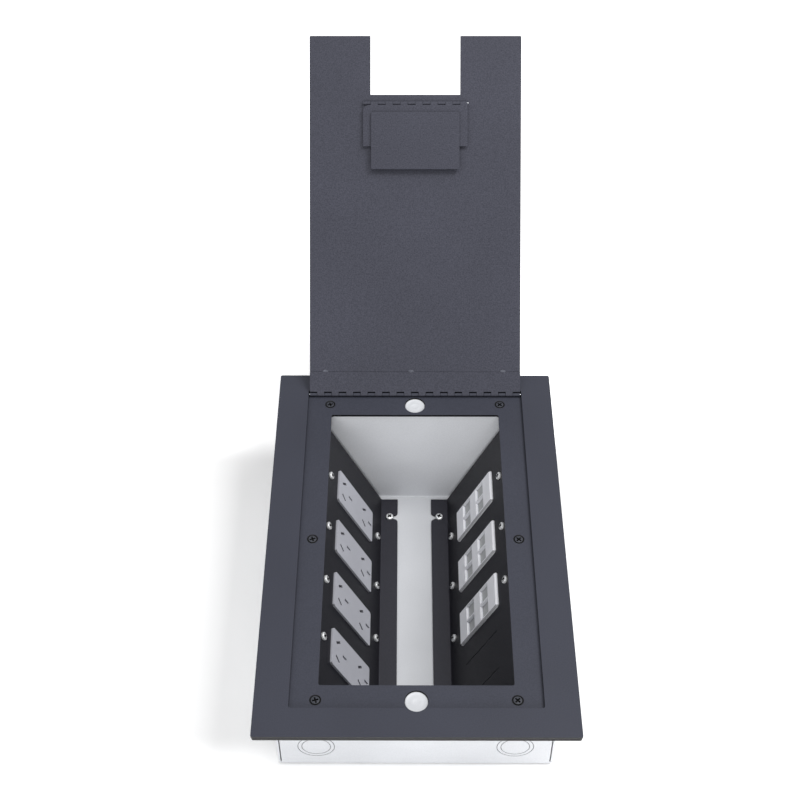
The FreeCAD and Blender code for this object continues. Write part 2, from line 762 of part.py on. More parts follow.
def pin_places():
    """Each pin of the two sockets of one outlet: name, across, height and tilt."""
    upper = "(%s + socket_pitch / 2 + socket_rise)" % MODULE_CENTRE
    lower = "(%s - socket_pitch / 2 + socket_rise)" % MODULE_CENTRE
    places = []
    for height in (upper, lower):
        places.append(("active", "-pin_pitch / 2", height, 1))
        places.append(("neutral", "pin_pitch / 2", height, -1))
        places.append(("earth", "0", height + " - earth_drop", 0))
    return places


def at_pin(thing, across, height, tilt):
    """Put a piece drawn about a pin's own axis onto that pin."""
    where = "create(<<vector>>; 0; %s; %s)" % (across, height)
    turn = "create(<<rotation>>; create(<<vector>>; 1; 0; 0); %d * pin_tilt)" % -tilt
    bind(thing, {"Placement": "create(<<placement>>; %s; %s)" % (where, turn)})
    return thing


def outlet_front():
    """A double socket face with its strap: six flat-pin slots."""
    boss, straps = module_face("Outlet", "outlet_proud")
    front = fuse("OutletFace", [boss] + straps)
    depth = ("-outlet_proud", "bracket_sheet + strap_plate")
    slot = block("PinSlot", depth, middle("pin_slot_width"), middle("pin_slot_length"))
    slots = [at_pin(gather("PinCut", [slot]), place[1], place[2], place[3]) for place in pin_places()]
    return cut("OutletFront", front, slots + ear_holes("OutletEarHole"))


def outlet_rear():
    """The moulded housing behind the face, open towards it."""
    front = "(bracket_sheet + strap_plate)"
    back = "(bracket_sheet + strap_plate + housing_depth)"
    outer = rounded_block(
        "HousingOuter", (front, back), middle("housing_width"),
        about(MODULE_CENTRE, HOUSING_LENGTH), "X", "module_corner")
    inner = block(
        "HousingInner", (front, back + " - housing_wall"), middle("housing_width - 2 * housing_wall"),
        about(MODULE_CENTRE, HOUSING_LENGTH + " - 2 * housing_wall"))
    return cut("OutletRear", outer, [inner])


def outlet_contacts():
    """Three brass bars, each with a pair of jaws behind every slot it serves."""
    floor = "(bracket_sheet + strap_plate + housing_depth - housing_wall)"
    top = "(%s - contact_sheet)" % floor
    mouth = "(%s - contact_reach)" % floor
    jaws = []
    for side in ("1", "-1"):
        inner = side + " * contact_mouth / 2"
        outer = side + " * (contact_mouth / 2 + contact_sheet)"
        span = (inner, outer) if side == "1" else (outer, inner)
        jaws.append(block("Jaw", (mouth, floor), span, middle("pin_slot_length")))
    jaw_pair = gather("JawPair", jaws)
    pins = pin_places()
    bars = []
    for name in ("active", "neutral", "earth"):
        served = [pin for pin in pins if pin[0] == name]
        across = served[0][1]
        span = ("%s - pin_slot_length / 2" % served[1][2], "%s + pin_slot_length / 2" % served[0][2])
        bar = block("ContactBar", (top, floor), about(across, "contact_width"), span)
        placed = [at_pin(gather("JawsAt", [jaw_pair]), pin[1], pin[2], pin[3]) for pin in served]
        bars.append(fuse("Contact", [bar] + placed))
    return gather("OutletContacts", bars)


def window_places():
    """The four windows of a data plate."""
    across = "window_across / 2"
    along = "window_along / 2"
    corners = [(x, y) for x in ("1", "-1") for y in ("1", "-1")]
    return [(x + " * " + across, "%s + %s * %s" % (MODULE_CENTRE, y, along)) for x, y in corners]


def data_front():
    """A data plate with its strap: a bevelled boss with four windows."""
    boss, straps = module_face("Data", "data_proud")
    boss = dressed("Part::Chamfer", "DataBevel", boss, size("data_bevel"), lowest("X"))
    front = fuse("DataFace", [boss] + straps)
    depth = ("-data_proud", "bracket_sheet + strap_plate")
    holes = [
        block("Window", depth, about(across, "window_width"), about(height, "window_length"))
        for across, height in window_places()
    ]
    return cut("DataFront", front, holes + ear_holes("DataEarHole"))


def data_inserts():
    """Four blank inserts, each with a flange that seats behind the plate."""
    inserts = []
    seat = "(bracket_sheet + strap_plate)"
    for across, height in window_places():
        face = block(
            "InsertFace", ("insert_sink - data_proud", seat), about(across, "window_width - 2 * insert_gap"),
            about(height, "window_length - 2 * insert_gap"))
        flange = block(
            "InsertFlange", (seat, seat + " + insert_back"), about(across, "window_width + 2 * insert_lip"),
            about(height, "window_length + 2 * insert_lip"))
        inserts.append(fuse("Insert", [face, flange]))
    return gather("DataInserts", inserts)


def modules():
    """Stand every module on its slope, with its screws."""
    screw = pan_screw("ModuleScrew", "module_screw_length")
    masters = {
        "outlet_front": outlet_front(),
        "outlet_rear": outlet_rear(),
        "outlet_contacts": outlet_contacts(),
    }
    data_masters = {"data_front": data_front(), "data_inserts": data_inserts()}
    data_steps = [step for step in SLOPE_PLACES if step != BLANK_PLACE]
    for side, steps, kinds, label in (
            (LEFT, SLOPE_PLACES, masters, "outlet_screws"), (RIGHT, data_steps, data_masters, "data_screws")):
        screws = []
        for number, step in enumerate(reversed(steps), start=1):
            place = slope_place(step)
            for kind, master in kinds.items():
                node(copy_on_slope("Module", master, side, place), "%s_%d" % (kind, number))
            for sign in ("-", "+"):
                raised = gather("RaisedScrew", [screw])
                bind(raised, {"Placement.Base.z": "%s %s screw_centres / 2" % (MODULE_CENTRE, sign)})
                screws.append(copy_on_slope("SlopeScrew", raised, side, place))
        node(gather("Screws", screws), label)


# ---------------------------------------------------------------- piano hinges
def knuckle_edges(count, pitch):
    """The places of the ends of a row of knuckles centred on zero."""
    return ["(%g * %s)" % (index - count / 2, pitch) for index in range(count + 1)]


def barrel_leaf(name, count, pitch, first, reach, slack="knuckle_notch"):
    """One leaf of a piano hinge about its pin, lying towards +Y at the foot of its barrel.

    The leaf keeps every other knuckle, from the first or the second on; the slots between
    them clear the other leaf's knuckles.
    """
    edges = knuckle_edges(count, pitch)
    length = (edges[0], edges[-1])
    flat = block(name + "Flat", length, ("0", reach), ("-hinge_radius", "hinge_sheet - hinge_radius"))
    barrel = rod(name + "Barrel", "X", "hinge_radius", length, ("0", "0"))
    stock = fuse(name + "Stock", [flat, barrel])
    tools = [rod(name + "Bore", "X", "hinge_bore", length, ("0", "0"))]
    across = ("-2 * hinge_radius", "hinge_radius + " + slack)
    for index in range(count):
        if index % 2 == first:
            continue
        low = edges[index] + " - knuckle_gap / 2"
        high = edges[index + 1] + " + knuckle_gap / 2"
        tools.append(block(name + "Notch", (low, high), across, middle("4 * hinge_radius")))
    return cut(name, stock, tools)


def hinge_wire(name, count, pitch):
    """The steel wire through all the knuckles."""
    edges = knuckle_edges(count, pitch)
    return rod(name, "X", "hinge_bore - hinge_running", (edges[0], edges[-1]), ("0", "0"))


def turned_over(name, thing, axis):
    """The same piece turned half round about an axis through the pin's middle."""
    over = gather(name, [thing])
    over.Placement = FreeCAD.Placement(V(), FreeCAD.Rotation(AXES[axis], 180))
    return over


def frame_leaf():
    """The frame's leaf of the lid hinge, under the rear of the flange."""
    leaf = barrel_leaf("FrameLeaf", HINGE_KNUCKLES, KNUCKLE, 0, FRAME_LEAF)
    bind(leaf, {"Placement.Base.y": HINGE_PLACE, "Placement.Base.z": HINGE_LEVEL})
    node(leaf, "hinge_frame_leaf")


# ---------------------------------------------------------------- lid and cable flap
def on_lid(thing, label):
    """Put a piece drawn on the shut lid, about the hinge axis, onto the open lid."""
    shut = gather("OnLid", [thing])
    where = "create(<<vector>>; 0; %s; %s)" % (HINGE_PLACE, HINGE_LEVEL)
    turn = "create(<<rotation>>; create(<<vector>>; 1; 0; 0); -lid_open)"
    bind(shut, {"Placement": "create(<<placement>>; %s; %s)" % (where, turn)})
    node(shut, label)


def lid_plate():
    """The lid, with the notch for cables in its free end."""
    along = ("-" + LID_REACH, "-hinge_radius - lid_rear_gap")
    levels = (LID_UNDERSIDE, "-" + HINGE_LEVEL)
    plate = rounded_block("LidBlank", ("-" + LID_HALF, LID_HALF), along, levels, "Z", "lid_corner")
    notch = block("LidNotch", middle("notch_width"), ("-" + LID_REACH, "notch_depth - " + LID_REACH), levels)
    return cut("LidPlate", plate, [notch])


def flap_axis(thing):
    """Move a piece drawn about the flap's axis to that axis on the shut lid."""
    moved = gather("AtFlapAxis", [thing])
    bind(moved, {"Placement.Base.y": "-" + FLAP_REACH, "Placement.Base.z": "-" + FLAP_DROP})
    return moved


def flap_hinge_leaf():
    """The flap's leaf of its hinge, rounded at the corner where it has no knuckle."""
    leaf = barrel_leaf("FlapLeaf", FLAP_KNUCKLES, FLAP_KNUCKLE, 1, "flap_leaf", "flap_knuckle_notch")
    end = knuckle_edges(FLAP_KNUCKLES, FLAP_KNUCKLE)[0]
    root = "hinge_radius + flap_knuckle_notch"
    levels = middle("4 * hinge_radius")
    across, along = (end, end + " + flap_leaf_corner"), (root, root + " + flap_leaf_corner")
    corner = block("LeafCorner", across, along, levels)
    disc = rod("LeafRound", "Z", "flap_leaf_corner", levels, (across[1], along[1]))
    return cut("RoundedLeaf", leaf, [cut("CornerWaste", corner, [disc])])


def flap_plate():
    """The plate that fills the notch when the flap is shut, drawn folded back."""
    along = ("flap_setback + flap_gap", "%s - %s - flap_gap" % (LID_REACH, FLAP_REACH))
    levels = ("-hinge_radius - flange_plate", "-hinge_radius")
    return rounded_block("FlapPlate", middle("notch_width - 2 * flap_gap"), along, levels, "Z", "lid_corner")


def lid_and_flap():
    """The lid with its hinge leaves and pins, and the cable flap folded back on it."""
    lid_leaf = barrel_leaf("LidLeaf", HINGE_KNUCKLES, KNUCKLE, 1, "lid_leaf")
    base_leaf = barrel_leaf(
        "FlapBaseLeaf", FLAP_KNUCKLES, FLAP_KNUCKLE, 1, "flap_base_leaf", "flap_knuckle_notch")
    on_lid(lid_plate(), "lid_plate")
    on_lid(turned_over("LidLeafOver", lid_leaf, "Z"), "hinge_lid_leaf")
    on_lid(hinge_wire("LidPin", HINGE_KNUCKLES, KNUCKLE), "hinge_pin")
    on_lid(flap_axis(turned_over("FlapBaseOver", base_leaf, "Y")), "flap_base_leaf")
    on_lid(flap_axis(flap_hinge_leaf()), "flap_leaf")
    on_lid(flap_axis(flap_plate()), "flap_plate")
    on_lid(flap_axis(hinge_wire("FlapPin", FLAP_KNUCKLES, FLAP_KNUCKLE)), "flap_pin")


# ---------------------------------------------------------------- assembly and export
def build():
    """Model every piece in its place."""
    cover_flange()
    packing_strips()
    inner_frame()
    plug("plug_front", PLUG_FRONT)
    plug("plug_rear", PLUG_REAR)
    box_body()
    frame_screws()
    weld_nuts()
    brackets(bracket_blank(), aperture(), blank_slits())
    foot_screws()
    modules()
    frame_leaf()
    lid_and_flap()
    doc.recompute()


def check():
    """Stop if any object failed or any piece is empty or broken."""
    for thing in doc.Objects:
        if "Invalid" in thing.State or "Error" in thing.State:
            raise RuntimeError("%s did not build" % thing.Label)
    for piece in nodes:
        if piece.Shape.isNull() or not piece.Shape.isValid():
            raise RuntimeError("%s has no sound shape" % piece.Label)
        if not piece.Shape.Solids:
            raise RuntimeError("%s holds no solid" % piece.Label)


def export():
    """Write each piece to its own file."""
    os.makedirs("parts", exist_ok=True)
    for piece in nodes:
        piece.Shape.exportStep("parts/%s.step" % piece.Label)
        print("%-20s %2d solids %10.1f mm3" % (piece.Label, len(piece.Shape.Solids), piece.Shape.Volume))


build()
check()
export()
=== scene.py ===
"""Looks for the floor socket box: materials, fine details, studio and camera."""

import json
import math

import bmesh
import bpy
import numpy
from mathutils import Matrix, Vector, noise


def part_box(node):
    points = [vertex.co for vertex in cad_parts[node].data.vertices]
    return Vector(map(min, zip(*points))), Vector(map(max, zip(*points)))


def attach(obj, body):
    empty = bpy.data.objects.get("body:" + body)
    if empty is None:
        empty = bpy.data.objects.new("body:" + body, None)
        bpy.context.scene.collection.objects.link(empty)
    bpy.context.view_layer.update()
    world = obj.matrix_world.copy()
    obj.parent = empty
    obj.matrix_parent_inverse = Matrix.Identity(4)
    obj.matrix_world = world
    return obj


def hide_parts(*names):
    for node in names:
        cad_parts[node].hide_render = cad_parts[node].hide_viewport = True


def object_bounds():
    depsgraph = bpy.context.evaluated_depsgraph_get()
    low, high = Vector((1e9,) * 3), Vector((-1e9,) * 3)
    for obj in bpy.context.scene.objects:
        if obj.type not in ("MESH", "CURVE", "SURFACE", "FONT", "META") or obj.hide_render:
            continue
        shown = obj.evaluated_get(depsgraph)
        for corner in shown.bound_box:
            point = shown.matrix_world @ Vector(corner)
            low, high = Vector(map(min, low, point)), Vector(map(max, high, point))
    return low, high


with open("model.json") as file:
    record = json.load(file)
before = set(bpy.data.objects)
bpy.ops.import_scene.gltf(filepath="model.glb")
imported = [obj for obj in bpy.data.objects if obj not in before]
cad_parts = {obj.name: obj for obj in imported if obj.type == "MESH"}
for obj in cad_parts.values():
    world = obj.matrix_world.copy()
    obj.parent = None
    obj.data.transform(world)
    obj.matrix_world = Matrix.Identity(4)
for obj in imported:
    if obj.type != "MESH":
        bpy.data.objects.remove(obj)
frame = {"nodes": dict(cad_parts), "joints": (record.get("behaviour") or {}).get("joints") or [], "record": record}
CAD_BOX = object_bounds()
NODES = frame["nodes"]
JOINTS = {joint["name"]: joint for joint in frame["joints"]}
MM = 0.001


# ---------------------------------------------------------------- node-material helpers
def grey(level):
    """A colour with one level in all three channels."""
    return (level,) * 3


def linear(red, green, blue):
    """A shader colour from its screen values, 0 to 255."""
    def one(value):
        value /= 255
        return value / 12.92 if value <= 0.04045 else ((value + 0.055) / 1.055) ** 2.4
    return tuple(one(value) for value in (red, green, blue))


class Shade:
    """A material under construction: a Principled shader and helpers for its nodes."""

    BEVEL_SAMPLES = 4
    CREVICE_SAMPLES = 6
    # How open a place is where the painted crevice shade is at its darkest.
    CREVICE_SHUT = 0.15

    def __init__(self, name, roughness=0.5, metallic=0.0, **sockets):
        self.material = bpy.data.materials.new(name)
        self.material.use_nodes = True
        self.tree = self.material.node_tree
        self.shader = self.tree.nodes["Principled BSDF"]
        self.shader.inputs["Roughness"].default_value = roughness
        self.shader.inputs["Metallic"].default_value = metallic
        for socket, value in sockets.items():
            self.shader.inputs[socket.replace("_", " ")].default_value = value
        self.coordinates = self.node("ShaderNodeTexCoord")
        self.place = self.coordinates.outputs["Object"]

    def node(self, kind, **settings):
        """A new node with its settings."""
        made = self.tree.nodes.new(kind)
        for key, value in settings.items():
            setattr(made, key, value)
        return made

    def link(self, source, target):
        """Join two sockets."""
        self.tree.links.new(source, target)

    def reckon(self, operation, *values):
        """The result of a sum on sockets or plain numbers."""
        made = self.node("ShaderNodeMath", operation=operation)
        for socket, value in zip(made.inputs, values):
            if isinstance(value, bpy.types.NodeSocket):
                self.link(value, socket)
            else:
                socket.default_value = value
        return made.outputs[0]

    def noise(self, scale, detail=2.0, rough=0.5):
        """A noise pattern of so many grains a metre."""
        pattern = self.node("ShaderNodeTexNoise")
        pattern.inputs["Scale"].default_value = scale
        pattern.inputs["Detail"].default_value = detail
        pattern.inputs["Roughness"].default_value = rough
        self.link(self.place, pattern.inputs["Vector"])
        return pattern.outputs["Fac"]

    def facing(self, axis):
        """How far the surface faces along one of the object's axes, from -1 to 1."""
        axes = self.node("ShaderNodeSeparateXYZ")
        self.link(self.coordinates.outputs["Normal"], axes.inputs["Vector"])
        return axes.outputs[axis]

    def ramp(self, factor, stops):
        """Colours along a factor, as (place, colour) pairs."""
        ramp = self.node("ShaderNodeValToRGB")
        while len(ramp.color_ramp.elements) < len(stops):
            ramp.color_ramp.elements.new(0.5)
        for element, (place, colour) in zip(ramp.color_ramp.elements, stops):
            element.position = place
            element.color = (*colour, 1)
        self.link(factor, ramp.inputs["Fac"])
        return ramp.outputs["Color"]

    def mix(self, factor, first, second, blend="MIX"):
        """Two colours mixed by a factor; each is a socket or a plain value."""
        mix = self.node("ShaderNodeMix", data_type="RGBA", blend_type=blend)
        for socket, value in ((mix.inputs[0], factor), (mix.inputs[6], first), (mix.inputs[7], second)):
            if isinstance(value, bpy.types.NodeSocket):
                self.link(value, socket)
            elif isinstance(value, float):
                socket.default_value = value
            else:
                socket.default_value = (*value, 1)
        return mix.outputs[2]

    def toned(self, colour, factor, stops):
        """A colour dimmed or lifted along a factor, as (place, level) pairs."""
        shade = self.ramp(factor, [(place, grey(level)) for place, level in stops])
        return self.mix(1.0, colour, shade, "MULTIPLY")

    def bump(self, height, strength, distance, before):
        """Relief from a height pattern, on top of earlier normals."""
        bump = self.node("ShaderNodeBump")
        bump.inputs["Strength"].default_value = strength
        bump.inputs["Distance"].default_value = distance
        self.link(height, bump.inputs["Height"])
        self.link(before, bump.inputs["Normal"])
        return bump.outputs["Normal"]

    def edge(self, radius):
        """Normals that round sharp edges a little."""
        bevel = self.node("ShaderNodeBevel", samples=self.BEVEL_SAMPLES)
        bevel.inputs["Radius"].default_value = radius
        return bevel.outputs["Normal"]

    def crevice_shade(self, colour, reach, depth, open_at):
        """A colour with painted shade in gaps and corners narrower than a reach."""
        # Painted shade: an occlusion test darkens the colour where the surface is shut in.
        occlusion = self.node("ShaderNodeAmbientOcclusion", samples=self.CREVICE_SAMPLES)
        occlusion.inputs["Distance"].default_value = reach
        return self.toned(colour, occlusion.outputs["AO"], [(self.CREVICE_SHUT, depth), (open_at, 1.0)])

    def shaded_sides(self, colour, tone):
        """A colour for flat plates with painted shade on their upright edges, darker than their faces."""
        level = self.reckon("ABSOLUTE", self.facing("Z"))
        return self.toned(colour, level, [(0.5, tone), (0.8, 1.0)])

    def shaded_walls(self, colour, near, far):
        """A colour for a raised moulding with painted shade on its near walls and a painted highlight on its far
        walls.
        """
        turned = self.node("ShaderNodeMapRange")
        turned.inputs["From Min"].default_value = -1
        self.link(self.facing("Y"), turned.inputs["Value"])
        stops = [(0.0, 0.85), (0.06, near), (0.26, near), (0.4, 1.0), (0.6, 1.0), (0.8, far)]
        return self.toned(colour, turned.outputs[0], stops)

    def shaded_tops(self, colour, steep, level, tone):
        """A colour that runs towards a tone where the surface turns from steep to level: painted light on
        up-facing faces, a painted highlight above one and painted shade below.
        """
        return self.toned(colour, self.facing("Z"), [(steep, 1.0), (level, tone)])

    def varied(self, pattern, middle, below, above):
        """A value that runs with a pattern from just below its middle to just above."""
        return self.ramp(pattern, [(0.3, grey(middle - below)), (0.7, grey(middle + above))])

    def finish(self, colour, roughness=None, normal=None):
        """Link what has been made to the shader."""
        for value, name in ((colour, "Base Color"), (roughness, "Roughness"), (normal, "Normal")):
            if value is not None:
                self.link(value, self.shader.inputs[name])
        return self.material


# ---------------------------------------------------------------- finishes
def textured_coat(
        name, low, high, grain=1500, relief=0.05 * MM, roughness=0.5, crevice_shade=(2 * MM, 0.2, 0.75),
        sides=None, top_shading=None):
    """Powder coat: fine orange-peel grains with a slight mottle in colour and gloss, painted shade in crevices
    and, where given, painted shade on upright sides and painted light on up-facing tops.
    """
    shade = Shade(name, roughness=roughness, Specular_IOR_Level=0.25)
    grains = shade.noise(grain, detail=3.0, rough=0.6)
    clouds = shade.noise(14)
    speckle = shade.ramp(grains, [(0.35, linear(*low)), (0.65, linear(*high))])
    colour = shade.toned(speckle, clouds, [(0.3, 0.94), (0.7, 1.05)])
    colour = shade.crevice_shade(colour, *crevice_shade)
    if sides is not None:
        colour = shade.shaded_sides(colour, sides)
    if top_shading is not None:
        colour = shade.shaded_tops(colour, *top_shading)
    gloss = shade.varied(grains, roughness, 0.06, 0.08)
    normal = shade.bump(grains, 0.5, relief, before=shade.edge(0.25 * MM))
    return shade.finish(colour, gloss, normal)


def moulded_plastic(name, tone, roughness=0.4, edge=0.5 * MM, wall_shading=None, top_shading=None):
    """Moulded plastic: a faint orange peel, soft edges, a little tone variation and painted shade in crevices;
    where given, painted shade and highlights on its walls and tops.
    """
    shade = Shade(name, roughness=roughness, IOR=1.46)
    peel = shade.noise(900, detail=1.0)
    clouds = shade.noise(40)
    plain = linear(*tone)
    colour = shade.ramp(clouds, [
        (place, tuple(channel * level for channel in plain)) for place, level in ((0.3, 0.96), (0.7, 1.03))])
    colour = shade.crevice_shade(colour, 1.5 * MM, 0.35, 0.75)
    if wall_shading is not None:
        colour = shade.shaded_walls(colour, *wall_shading)
    if top_shading is not None:
        colour = shade.shaded_tops(colour, *top_shading)
    gloss = shade.varied(peel, roughness, 0.04, 0.05)
    normal = shade.bump(peel, 0.15, 0.02 * MM, before=shade.edge(edge))
    return shade.finish(colour, gloss, normal)


def plated_metal(name, low, high, roughness=0.3, metallic=1.0):
    """Bright plated or drawn metal: fine grain, slight stains and soft edges."""
    shade = Shade(name, roughness=roughness, metallic=metallic)
    grains = shade.noise(1800)
    stain = shade.noise(220, detail=3.0)
    colour = shade.ramp(stain, [(0.3, linear(*low)), (0.7, linear(*high))])
    gloss = shade.varied(grains, roughness, 0.08, 0.1)
    normal = shade.bump(grains, 0.2, 0.01 * MM, before=shade.edge(0.15 * MM))
    return shade.finish(colour, gloss, normal)


# Colours are screen values. A crevice shade is painted shade in gaps and corners: its reach, its darkest level and
# how open a place is where it ends.
# Sides are levels of painted shade on upright edges, walls levels of painted shade on near walls and a painted
# highlight on far walls, and tops, painted light on up-facing faces, are where they start, end, and their level.
COATS = {
    # Upright edges of the charcoal coat are near black with painted shade.
    "charcoal_coat": dict(low=(47, 49, 59), high=(57, 59, 70), sides=0.05),
    "hinge_coat": dict(low=(47, 49, 59), high=(57, 59, 70)),
    "lid_coat": dict(
        low=(47, 48, 58), high=(65, 66, 77), grain=1100, relief=0.09 * MM, crevice_shade=(1.5 * MM, 0.5, 0.7)),
    "packing_coat": dict(low=(22, 22, 26), high=(30, 30, 34), roughness=0.6),
    # The pale body coat: painted shade in its seams and corners, and painted shade dimming its up-facing tops.
    "pale_coat": dict(
        low=(226, 228, 232), high=(233, 235, 239), grain=1400, relief=0.03 * MM, roughness=0.42,
        crevice_shade=(4 * MM, 0.01, 0.5), top_shading=(0.6, 0.9, 0.8)),
    # Upright edges of the black coat are dimmed with painted shade.
    "black_coat": dict(low=(39, 39, 46), high=(49, 49, 57), roughness=0.45, sides=0.45),
    # Weld beads: the lid coat lightened as a painted highlight, with painted shade round their feet.
    "weld_bead_lit": dict(
        low=(66, 68, 77), high=(92, 94, 104), relief=0.08 * MM, roughness=0.4,
        crevice_shade=(1.5 * MM, 0.1, 0.9)),
    # The flap's pin: the lid coat lightened, painted light that lifts the shade in the knuckle gaps.
    "pin_coat_lit": dict(low=(84, 86, 98), high=(98, 100, 113), crevice_shade=(0.2 * MM, 0.9, 0.3)),
    "screw_face": dict(low=(52, 54, 60), high=(62, 64, 72), relief=0.03 * MM, roughness=0.42),
    "recess_shade": dict(low=(14, 14, 17), high=(22, 22, 26), relief=0.02 * MM, roughness=0.6),
}
PLASTICS = {
    # Walls carry painted shade on near walls and a painted highlight on far walls; the data plates' tops carry a
    # painted highlight.
    "outlet_plastic": dict(tone=(180, 181, 189), roughness=0.35, wall_shading=(0.4, 1.3)),
    "data_plastic": dict(
        tone=(238, 239, 244), roughness=0.35, wall_shading=(0.4, 1.1), top_shading=(0.6, 0.75, 1.25)),
    # The window inserts are toned down to grey as painted shade inside the windows.
    "insert_plastic": dict(tone=(176, 178, 179), edge=0.3 * MM),
    "housing_plastic": dict(tone=(222, 222, 218), roughness=0.45),
    "plug_plastic": dict(tone=(206, 208, 212)),
}
METALS = {
    "zinc_steel": dict(low=(224, 226, 228), high=(248, 249, 250), roughness=0.26, metallic=0.45),
    "black_screw": dict(low=(52, 53, 57), high=(74, 75, 80), roughness=0.42),
    "hinge_wire": dict(low=(180, 182, 186), high=(226, 228, 232)),
    "contact_brass": dict(low=(190, 152, 84), high=(222, 184, 110)),
}
FINISHES = {
    name: make(name, **settings)
    for make, group in ((textured_coat, COATS), (moulded_plastic, PLASTICS), (plated_metal, METALS))
    for name, settings in group.items()}

# The lid and all that hinges on it are sprayed together, whatever the slot of each piece.
LID_FINISH = dict.fromkeys(
    ("lid_plate", "flap_plate", "hinge_lid_leaf", "flap_base_leaf", "flap_leaf", "hinge_pin"), "lid_coat")
# The flap's pin takes a lighter copy of the lid coat, painted light in the knuckle gaps.
LID_FINISH["flap_pin"] = "pin_coat_lit"


def dress_nodes():
    """Give every CAD node the finish of its material slot, and the lid's pieces their own."""
    for part in frame["record"]["subparts"]:
        name = LID_FINISH.get(part["node"], part["material_slot"])
        for slot in NODES[part["node"]].material_slots:
            slot.material = FINISHES[name]


dress_nodes()


# ---------------------------------------------------------------- mesh helpers
SMOOTH_BELOW = math.radians(35)
SAME_POINT = 1e-7


def mesh_object(name, made, materials):
    """A mesh piece from a bmesh, smooth where its faces meet gently."""
    bmesh.ops.recalc_face_normals(made, faces=made.faces)
    mesh = bpy.data.meshes.new(name)
    made.to_mesh(mesh)
    made.free()
    for material in materials:
        mesh.materials.append(material)
    piece = bpy.data.objects.new(name, mesh)
    bpy.context.collection.objects.link(piece)
    mesh.shade_smooth()
    mesh.set_sharp_from_angle(angle=SMOOTH_BELOW)
    return piece


def lathe(points, segments=48):
    """A solid of revolution about Z from (radius, height) points, axis to axis."""
    made = bmesh.new()
    rings = []
    for radius, height in points:
        if radius == 0:
            rings.append([made.verts.new((0, 0, height))])
            continue
        turns = [2 * math.pi * step / segments for step in range(segments)]
        rings.append([made.verts.new((radius * math.cos(t), radius * math.sin(t), height)) for t in turns])
    for lower, upper in zip(rings, rings[1:]):
        for step in range(segments):
            after = (step + 1) % segments
            corners = [lower[step % len(lower)], lower[after % len(lower)],
                       upper[after % len(upper)], upper[step % len(upper)]]
            made.faces.new(list(dict.fromkeys(corners)))
    return made


def carved(made, cutters):
    """A bmesh with closed bmesh cutters taken out of it."""
    target = mesh_object("carved", made, [])
    tools = []
    for cutter in cutters:
        tool = mesh_object("cutter", cutter, [])
        modifier = target.modifiers.new("cut", "BOOLEAN")
        modifier.operation = "DIFFERENCE"
        modifier.solver = "EXACT"
        modifier.object = tool
        tools.append(tool)
    bpy.context.view_layer.update()
    result = bmesh.new()
    result.from_object(target, bpy.context.evaluated_depsgraph_get())
    for scrap in [target] + tools:
        bpy.data.objects.remove(scrap)
    return result


def islands(node):
    """The vertex places of each separate solid in a CAD node."""
    made = bmesh.new()
    made.from_mesh(NODES[node].data)
    bmesh.ops.remove_doubles(made, verts=made.verts, dist=SAME_POINT)
    left = set(made.verts)
    found = []
    while left:
        queue = [left.pop()]
        island = []
        while queue:
            vert = queue.pop()
            island.append(vert.co.copy())
            for edge in vert.link_edges:
                other = edge.other_vert(vert)
                if other in left:
                    left.remove(other)
                    queue.append(other)
        found.append(island)
    made.free()
    return found


def join_copies(master, places):
    """One bmesh of copies of a bmesh, one for each matrix."""
    whole = bmesh.new()
    for place in places:
        mesh = bpy.data.meshes.new("copy")
        master.to_mesh(mesh)
        mesh.transform(place)
        whole.from_mesh(mesh)
        bpy.data.meshes.remove(mesh)
    master.free()
    return whole


# ---------------------------------------------------------------- fasteners
# How much narrower a cross recess is at its bottom, and how far its cutter stands out of its mouth.
CROSS_TAPER, CROSS_MOUTH = 0.55, 0.1
# How far the cross recesses on each side of the box are turned.
RIGHT_SPIN, LEFT_SPIN = 0.7, 0.2
# The widest part of a head, as a share of its reach from the axis, and the part near the middle.
RIM_SHARE, MIDDLE_SHARE = 0.99, 0.75


def wing(half_length, half_width, depth, turn):
    """One tapered wing of a cross recess, its mouth just above zero."""
    made = bmesh.new()
    bmesh.ops.create_cube(made, size=2)
    for vert in made.verts:
        taper = 1 if vert.co.z > 0 else CROSS_TAPER
        vert.co.x *= half_length * taper
        vert.co.y *= half_width * taper
        vert.co.z = depth * CROSS_MOUTH if vert.co.z > 0 else -depth
    bmesh.ops.rotate(made, verts=made.verts, matrix=Matrix.Rotation(turn, 3, "Z"))
    return made


def cross(half_length, half_width, depth, turn):
    """The two wings of a cross recess."""
    return [wing(half_length, half_width, depth, angle) for angle in (turn, turn + math.pi / 2)]


def shank_points(length, shank):
    """The axis, the chamfered tip and the side of a screw's shank."""
    return [(0, -length), (shank - 0.4 * MM, -length), (shank, -length + 0.6 * MM)]


def countersunk_screw(length):
    """A countersunk screw with a cross recess and a grooved rolled rim, both painted near black as shade by
    set_screws.
    """
    head, face, rim, shank = 4.09 * MM, 3.1 * MM, 0.7 * MM, 2.0 * MM
    body = lathe(shank_points(length, shank) + [
        (shank, shank - head), (head, 0), (head - 0.12 * MM, -0.02 * MM),
        (face + 0.2 * MM, -rim), (face, -rim), (face - 0.05 * MM, -0.1 * MM),
        (face - 0.25 * MM, 0), (0, 0)])
    return carved(body, cross(2.3 * MM, 0.6 * MM, 1.7 * MM, 0.1))


def pan_screw(length):
    """A pan-head screw with a domed head and a cross recess."""
    head, deep, shank = 2.95 * MM, 2.05 * MM, 1.65 * MM
    dome = [(head * math.cos(t), deep * 0.35 * (math.sin(t) - 1)) for t in (0, 0.35, 0.7, 1.0, 1.25)]
    body = lathe(shank_points(length, shank) + [
        (shank, -deep), (head - 0.1 * MM, -deep), (head, -deep + 0.1 * MM)] + dome + [(0, 0)])
    return carved(body, cross(2.0 * MM, 0.7 * MM, 1.3 * MM, 0.5))


